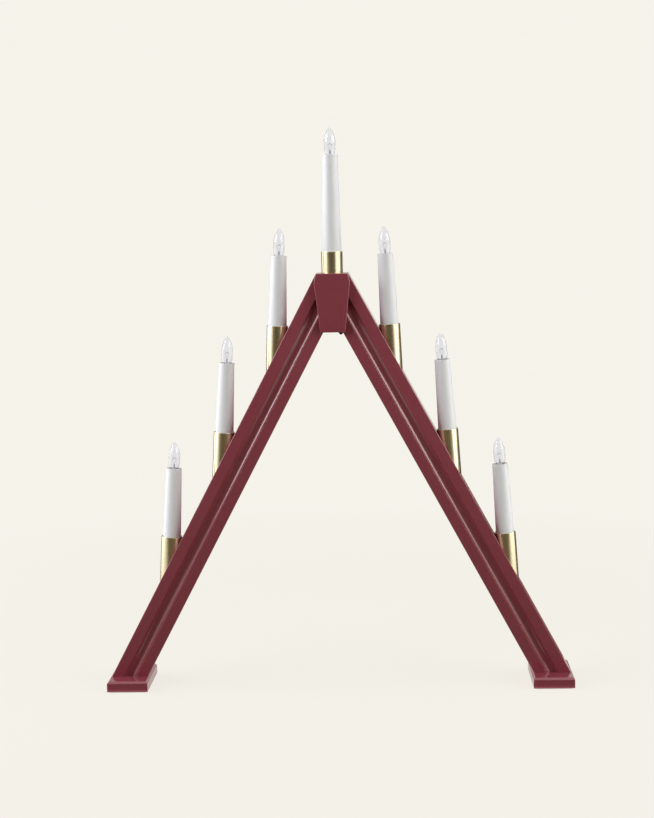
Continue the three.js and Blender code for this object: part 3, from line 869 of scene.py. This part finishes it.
def addContact(place, upper):
    # the insulating disc under the cap and the drop of solder in its middle
    low, shelf, high = (socket["boreFloor"] + contact[key] for key in ("low", "shelf", "high"))
    disc = eased(pin(contact["discRadius"], shelf, high), contact["discCurve"], closed=False)
    tip = eased(pin(contact["tipRadius"], low, shelf), contact["tipCurve"], closed=False)
    name = place["name"]
    body = f"carriage_{name}"
    mesh = turned(disc, upper, sides=48)
    addPiece(f"lamp_insulator_{name}", mesh, plain["beadGlass"], body)
    mesh = turned(tip, upper, sides=48)
    addPiece(f"lamp_tip_{name}", mesh, plain["solder"], body, [f"lamp_contact_{name}"])


def addCandles():
    for place in places.values():
        upper = moved(place, place["candle_sleeve"][1])
        addCup(place)
        for add in (addSleeve, addSocket, addCap, addGlass, addMount, addFilament, addContact):
            add(place, upper)
    print("candles made")


# Leads down the back

lead = {
    "radius": 1.1, "spacing": 1.8, "gap": 0.3, "bend": 3, "lane": 2, "landEdge": 3, "landDown": 12,
    "laneDown": 20, "laneInDown": 26, "crossingDown": 5, "crossingIn": 11, "crossingRise": 3.5,
    "returnTurn": 7.2, "rampLength": 8, "rampClear": 6, "rampHeight": 4, "underSocket": 23.3,
}
block = {
    "start": 402.02, "length": 34, "width": 18, "height": 10, "corner": 2.2, "lift": 0.02, "footEdge": 0.3,
    "parting": 5.9, "partingGap": 0.1, "partingEdge": 0.2, "crown": 1.3, "crownEnd": 1.6,
    "slotWidth": 8, "slotHeight": 4.8, "slotDepth": 10, "leadHole": 1.4, "leadEntry": 1.5, "holeDepth": 2.5,
    "wellReach": 11, "wellRadius": 2.1, "wellDepth": 1.6, "headRadius": 1.75, "headHeight": 1.0,
    "headLift": 0.05, "headCurve": 0.3, "screwSlot": 0.5, "slotTurns": {"upper": 35, "lower": -20},
}
inChannel = backFace - batten["channelDepth"] + lead["gap"] + lead["radius"]
onBack = backFace + lead["gap"] + lead["radius"]
crotch = apexHeight + batten["apexFlat"] / 2 * cosine / sine - batten["width"] / sine
seriesLane, returnLane = middle - lead["lane"], middle + lead["lane"]


def inCandle(place, x, height):
    return carried([x, 0, height], place["matrix"])


def legDown(side, point):
    # how far down the batten a point is: back along its direction from the corner of the flat top
    return (point[0] * side - batten["apexFlat"] / 2) * sine + (apexHeight - point[2]) * cosine


def intoCandle(place, across, towards):
    # out of the channel, through the bore and up inside the candle. The lead comes from the apex (-1)
    # or from the foot (1)
    turn = boreTurn(place)
    mouth = legDown(place["side"], inCandle(place, 0, turn)) + towards * lead["spacing"]
    x = towards * place["side"] * lead["spacing"]
    upper = place["candle_sleeve"][1] - lead["underSocket"]
    start = legPoint(place["side"], across, inChannel, mouth)
    return [start, inCandle(place, x, turn), inCandle(place, x, upper)]


def addLead(name, corners):
    path = eased(corners, lead["bend"], 9, closed=False, hold=0.5)
    mesh = buildMesh(*tube(path, lead["radius"]))
    addPiece(name.replace("lead_", "cable_"), mesh, plain["cableRubber"], "holder", [name])


def topLead(side, first, underApex):
    # through the apex, round the batten's inside edge and into its channel; heights under the apex are
    # from the crotch of the battens
    upper = top["candle_sleeve"][1] - lead["underSocket"]
    start = batten["channelStart"]
    corners = [
        inCandle(top, side * lead["spacing"], upper),
        *(np.array([side * x, y, crotch + z]) for x, y, z in underApex),
        legPoint(side, batten["width"] - lead["landEdge"], onBack, start + lead["landDown"]),
        legPoint(side, seriesLane, onBack, start + lead["laneDown"]),
        legPoint(side, seriesLane, inChannel, start + lead["laneInDown"]),
        *intoCandle(first, seriesLane, -1),
    ]
    addLead(f"lead_top_to_{first['name']}", corners)


def fromBlock(across):
    rampEnd = block["start"] - lead["rampClear"] - lead["radius"]
    level = backFace + lead["rampHeight"]
    return [
        legPoint(1, across, level, block["start"] + block["leadEntry"]),
        legPoint(1, across, level, rampEnd),
        legPoint(1, across, inChannel, rampEnd - lead["rampLength"]),
    ]


def overApex(side):
    spots = ((inChannel, lead["crossingIn"]), (onBack, lead["crossingDown"]))
    return [legPoint(side, returnLane, back, batten["channelStart"] + down) for back, down in spots]


def addLeads():
    for word in legs:
        rows = legPlaces(word)
        for upper, lower in zip(rows, rows[1:]):
            corners = intoCandle(upper, seriesLane, 1)[::-1] + intoCandle(lower, seriesLane, -1)
            addLead(f"lead_{upper['name']}_to_{lower['name'].removeprefix(word + '_')}", corners)
    under = (lead["spacing"], 0, -8)
    topLead(-1, places["left_upper"], [under, (3.6, 9, -14), (5, onBack, -15)])
    topLead(1, places["right_upper"], [under, (4.8, 7, -18.8), (7.4, 12.5, -22.9), (9.4, onBack + 1, -19.2)])
    addLead("lead_feed", fromBlock(seriesLane) + intoCandle(places["right_lower"], seriesLane, 1))
    last = places["left_lower"]
    turn = legDown(-1, inCandle(last, 0, boreTurn(last)))
    addLead("lead_return", [
        *fromBlock(returnLane), *overApex(1), np.array([0, onBack, crotch + lead["crossingRise"]]),
        *overApex(-1)[::-1], legPoint(-1, returnLane, inChannel, turn - lead["returnTurn"]),
        *intoCandle(last, middle - lead["lane"] / 2, 1),
    ])
    print("leads made")


# Staples over the leads, and the terminal block

staple = {"halfWidth": 3.4, "wire": 0.4, "rise": 2.9, "sink": 3, "bend": 0.6}


def together(shapes):
    # several shapes as one: the faces of each count on from the points before it
    points, faces = [], []
    for shape, shapeFaces in shapes:
        start = sum(len(part) for part in points)
        faces += [[corner + start for corner in face] for face in shapeFaces]
        points.append(shape.reshape(-1, 3))
    return np.concatenate(points), faces


def addStaples():
    # one wire staple over both leads, midway between every two places where a lead comes or goes
    bottom = backFace - batten["channelDepth"]
    low, high = bottom - staple["sink"], bottom + staple["rise"]
    left, right = middle - staple["halfWidth"], middle + staple["halfWidth"]
    bent = eased([(left, low), (left, high), (right, high), (right, low)], staple["bend"], 6, closed=False)
    for word, side in legs.items():
        stops = [batten["channelStart"] + lead["laneInDown"]]
        for place in legPlaces(word):
            stops.append(legDown(side, inCandle(place, 0, place["cup"][0] - candle["boreDrop"])))
        if side > 0:
            stops.append(block["start"] - lead["rampClear"] - lead["rampLength"])
        paths = [legPoint(side, *bent.T, (before + after) / 2) for before, after in zip(stops, stops[1:])]
        mesh = buildMesh(*together([tube(path, staple["wire"], sides=8) for path in paths]))
        addPiece(f"lead_staples_{word}", mesh, plain["zincSteel"], "holder")
    print("staples made")


def onBlock(points, order=(0, 1, 2)):
    # points given across, towards the back and down the right batten, or with those columns in another order
    across, back, down = points[:, order].T
    return legPoint(1, across, back, down)


def blockHalf(rows):
    # a rectangle with round corners for each row's [inset, height]: each corner's centre, plus its radius
    # less the inset in every direction of its quarter turn
    quarter = np.linspace(0, np.pi / 2, 7)
    angle = np.concatenate([quarter + turn * np.pi / 2 for turn in range(4)])
    signs = np.repeat([(1, 1), (-1, 1), (-1, -1), (1, -1)], len(quarter), axis=0)
    inset, height = np.asarray(rows, float).T[:, :, None]
    reach = block["corner"] - inset
    across = middle + signs[:, 0] * (block["width"] / 2 - block["corner"]) + reach * np.cos(angle)
    along = signs[:, 1] * (block["length"] / 2 - block["corner"]) + reach * np.sin(angle)
    points = legPoint(1, across, backFace + height, block["start"] + block["length"] / 2 + along)
    count = len(angle)
    last = (len(rows) - 1) * count
    faces = quads(len(rows), count).tolist() + [list(range(count)), list(range(last, last + count))]
    return buildMesh(points, faces)


def blockCutters():
    # the inlet for the mains cord, with round sides, and the two holes for the leads
    half = block["slotHeight"] / 2
    reach, level = block["slotWidth"] / 2 - half, backFace + block["height"] / 2
    end = block["start"] + block["length"]
    slot = np.concatenate([
        arc((middle - reach, level), half, 90, 270, 13),
        arc((middle + reach, level), half, -90, 90, 13),
    ])
    outlines = [(slot, end - block["slotDepth"], end + block["corner"])]
    for lane in (seriesLane, returnLane):
        hole = circle((lane, backFace + lead["rampHeight"]), block["leadHole"], 24)
        outlines.append((hole, block["start"] - block["corner"], block["start"] + block["holeDepth"]))
    cutters = []
    for outline, low, high in outlines:
        points, faces = prism(outline, low, high)
        cutters.append(buildMesh(onBlock(points), faces))
    return cutters


def blockScrew(down, turn):
    # the cutter for a well in the cover, and the slotted head in the well
    floor = backFace + block["height"] - block["wellDepth"]
    rim = circle((middle, down), block["wellRadius"], 32)
    points, faces = prism(rim, floor, floor + 2 * block["wellDepth"])
    well = buildMesh(onBlock(points, (0, 2, 1)), faces)
    matrix = toArray(Matrix.Rotation(-math.pi / 2, 4, "X"))
    matrix[:3, 3] = legPoint(1, middle, floor + block["headLift"], down)
    head, rise, half = block["headRadius"], block["headHeight"], block["screwSlot"] / 2
    profile = [(0, 0), (head, 0), (head, 0.7 * rise), (0.4 * head, rise), (0, rise)]
    shell = turned(eased(profile, block["headCurve"], closed=False), matrix, sides=32)
    corners = [(-2 * head, -half), (2 * head, -half), (2 * head, half), (-2 * head, half)]
    points, faces = prism(corners, rise - 2 * half, 2 * rise)
    aligned = matrix @ toArray(Matrix.Rotation(math.radians(turn), 4, "Z"))
    return well, carve(shell, [buildMesh(carried(points, aligned), faces)])


def addBlock():
    # a base and a cover that meet in a fine groove, and two slotted screws sunk in the cover
    high, parting, edge = block["height"], block["parting"], block["partingEdge"]
    foot, under, crown = block["footEdge"], parting - block["partingGap"], block["crown"]
    base = blockHalf([(foot, block["lift"]), (0, foot), (0, under - edge), (edge, under)])
    curve = [
        (crown - crown * math.cos(angle), high - crown + crown * math.sin(angle))
        for angle in np.radians(range(0, 91, 15))
    ]
    cover = blockHalf([(edge, parting), (0, parting + edge), *curve, (block["crownEnd"], high)])
    centre = block["start"] + block["length"] / 2
    wells = []
    for word, way in (("upper", -1), ("lower", 1)):
        well, screw = blockScrew(centre + way * block["wellReach"], block["slotTurns"][word])
        wells.append(well)
        addPiece(f"block_screw_{word}", screw, plain["zincSteel"], "holder")
    brown = plain["blockPlastic"]
    addPiece("block_base", carve(base, blockCutters()), brown, "holder", ["terminal_block"])
    addPiece("block_cover", carve(cover, blockCutters() + wells), brown, "holder")
    print("terminal block made")


addCamera()
addBattens()
addBoard()
addFeet()
addCandles()
addLeads()
addStaples()
addBlock()


# The floor and the light

studio = {
    "backdrop": tint(245.5, 242.5, 234.5),
    "paper": tint(252, 249, 241),
    "card": tint(118, 108, 86),
    "cardHeight": 0.002,  # of the cards on the floor, in metres
    "surround": (0.12, 0.12, 0.12, 1.0),  # what the world adds to dull surfaces
    "floorSize": 6.0,     # metres from the middle to each edge
    "shadowNear": 0.5,    # metres from the middle, where the floor's shadow starts to fade
    "shadowFar": 1.0,     # and where it ends
    "shadowShare": 0.12,
}
white, warm = (1.0, 1.0, 1.0), (1.0, 0.99, 0.93)  # the light from the left and the top, and from the right
boxes = {
    # bearing from the front, degrees to the right; span in degrees; distance, lowest and highest point in
    # metres; how bright the face is
    "leftLow": {"bearing": -100, "span": 50, "distance": 1.0, "low": 0.02, "high": 0.45, "level": 1.6},
    "leftHigh": {"bearing": -74, "span": 62, "distance": 3.0, "low": 0.75, "high": 2.45, "level": 5.4},
    "rightLow": {"bearing": 80, "span": 46, "distance": 1.0, "low": 0.02, "high": 0.42, "level": 1.45},
    "rightHigh": {"bearing": 70, "span": 60, "distance": 3.0, "low": 0.75, "high": 2.4, "level": 4.1},
}
topBox = {"height": 1.9, "size": (1.4, 1.0), "level": 1.1}
cards = {
    # dark cards round the studio, which shape what metal and paint mirror
    "frontCard": {"bearing": -8, "span": 92, "distance": 2.3, "low": 0.0, "high": 2.2},
    "backCardRight": {"bearing": 128, "span": 52, "distance": 2.6, "low": 0.0, "high": 1.8},
    "backCardLeft": {"bearing": -146, "span": 36, "distance": 2.6, "low": 0.0, "high": 1.8},
}
floorCards = {
    # corners of the dark cards on the floor
    "frontFloorCard": [
        (-2.6, -2.25), (2.2, -2.25), (0.95, -0.75), (0.42, -0.45),
        (0.27, -0.037), (-0.27, -0.037), (-0.42, -0.45), (-1.1, -0.75),
    ],
    "backFloorCard": [(-0.25, 0.12), (0.25, 0.09), (2.2, 0.5), (2.2, 2.4), (-2.2, 2.4), (-2.2, 1.6)],
}


def standing(spot):
    # where an upright panel stands: its centre, its width and its height
    bearing = math.radians(spot["bearing"])
    centre = Vector((math.sin(bearing), -math.cos(bearing), 0)) * spot["distance"]
    centre.z = (spot["low"] + spot["high"]) / 2
    width = 2 * spot["distance"] * math.tan(math.radians(spot["span"] / 2))
    return centre, width, spot["high"] - spot["low"]


def addLight(name, centre, width, height, level, aim, colour):
    # a soft light that gives its whole face the brightness level, where 1 shows as white
    light = bpy.data.lights.new(name, "AREA")
    light.shape, light.size, light.size_y = "RECTANGLE", width, height
    light.energy = level * math.pi * width * height
    light.color = colour
    box = bpy.data.objects.new(name, light)
    bpy.context.scene.collection.objects.link(box)
    box.location = centre
    box.rotation_euler = (aim - centre).to_track_quat("-Z", "Y").to_euler()
    box.visible_camera = box.visible_transmission = False


def addLights():
    for name, spot in boxes.items():
        centre, width, height = standing(spot)
        colour = warm if spot["bearing"] > 0 else white
        addLight(name, centre, width, height, spot["level"], Vector((0, 0, centre.z)), colour)
    above = Vector((0, 0, topBox["height"]))
    addLight("topBox", above, *topBox["size"], topBox["level"], Vector((0, 0, 0)), white)


def addPlane(name, corners, finish):
    mesh = bpy.data.meshes.new(name)
    mesh.from_pydata([tuple(corner) for corner in corners], [], [range(len(corners))])
    mesh.materials.append(finish)
    plane = bpy.data.objects.new(name, mesh)
    bpy.context.scene.collection.objects.link(plane)
    return plane


def backdropShare(finish):
    # 1 for the rays that look at the background, straight, mirrored or through glass
    path = "ShaderNodeLightPath"
    seen = finish.node(path, {}, {}, "Is Camera Ray") + finish.node(path, {}, {}, "Is Glossy Ray")
    return seen + finish.node(path, {}, {}, "Is Transmission Ray")


def addWorld():
    world = bpy.data.worlds.new("studio")
    bpy.context.scene.world = world
    air = Finish("studio", world)
    colour = air.mix(backdropShare(air), studio["surround"], studio["backdrop"])
    shader = air.node("ShaderNodeBackground", {}, {"Color": colour})
    air.node("ShaderNodeOutputWorld", {}, {"Surface": shader})


def addFloor():
    # cream paper that shows as plain backdrop, apart from a share of light and shadow near the object
    finish = Finish("floorPaper")
    place = finish.node("ShaderNodeTexCoord", {}, {}, "Object")
    away = finish.node("ShaderNodeVectorMath", {"operation": "LENGTH"}, {0: place}, "Value")
    clamped = {"operation": "SUBTRACT", "use_clamp": True}
    inside = finish.node("ShaderNodeMath", clamped, {0: studio["shadowFar"], 1: away})
    fade = inside.math("DIVIDE", studio["shadowFar"] - studio["shadowNear"]).math("MINIMUM", 1.0)
    share = backdropShare(finish) * (1 - fade * studio["shadowShare"])
    lit = finish.node("ShaderNodeBsdfDiffuse", {}, {"Color": studio["paper"]})
    shown = finish.node("ShaderNodeEmission", {}, {"Color": studio["backdrop"]})
    finish.close(finish.node("ShaderNodeMixShader", {}, {0: share, 1: lit, 2: shown}))
    half = studio["floorSize"]
    corners = [(-half, -half, 0), (half, -half, 0), (half, half, 0), (-half, half, 0)]
    addPlane("floor", corners, finish.owner)


def addCard(name, corners, finish):
    card = addPlane(name, corners, finish)
    card.visible_camera = card.visible_transmission = card.visible_shadow = False


def uprightCorners(spot):
    centre, width, height = standing(spot)
    across = Vector((centre.y, -centre.x, 0)).normalized() * width / 2
    rise = Vector((0, 0, height / 2))
    return [centre - across - rise, centre + across - rise, centre + across + rise, centre - across + rise]


def addCards():
    # dark on the side that faces the object or up, and clear from behind
    finish = Finish("darkCard")
    dark = finish.node("ShaderNodeBsdfDiffuse", {}, {"Color": studio["card"]})
    clear = finish.node("ShaderNodeBsdfTransparent", {}, {})
    behind = finish.node("ShaderNodeNewGeometry", {}, {}, "Backfacing")
    finish.close(finish.node("ShaderNodeMixShader", {}, {0: behind, 1: dark, 2: clear}))
    for name, spot in cards.items():
        addCard(name, uprightCorners(spot), finish.owner)
    for name, corners in floorCards.items():
        addCard(name, [(x, y, studio["cardHeight"]) for x, y in corners], finish.owner)
    bpy.data.objects["backFloorCard"].visible_diffuse = False


addWorld()
addFloor()
addCards()
addLights()
bpy.context.scene.view_settings.view_transform = "Standard"
print("stage made")
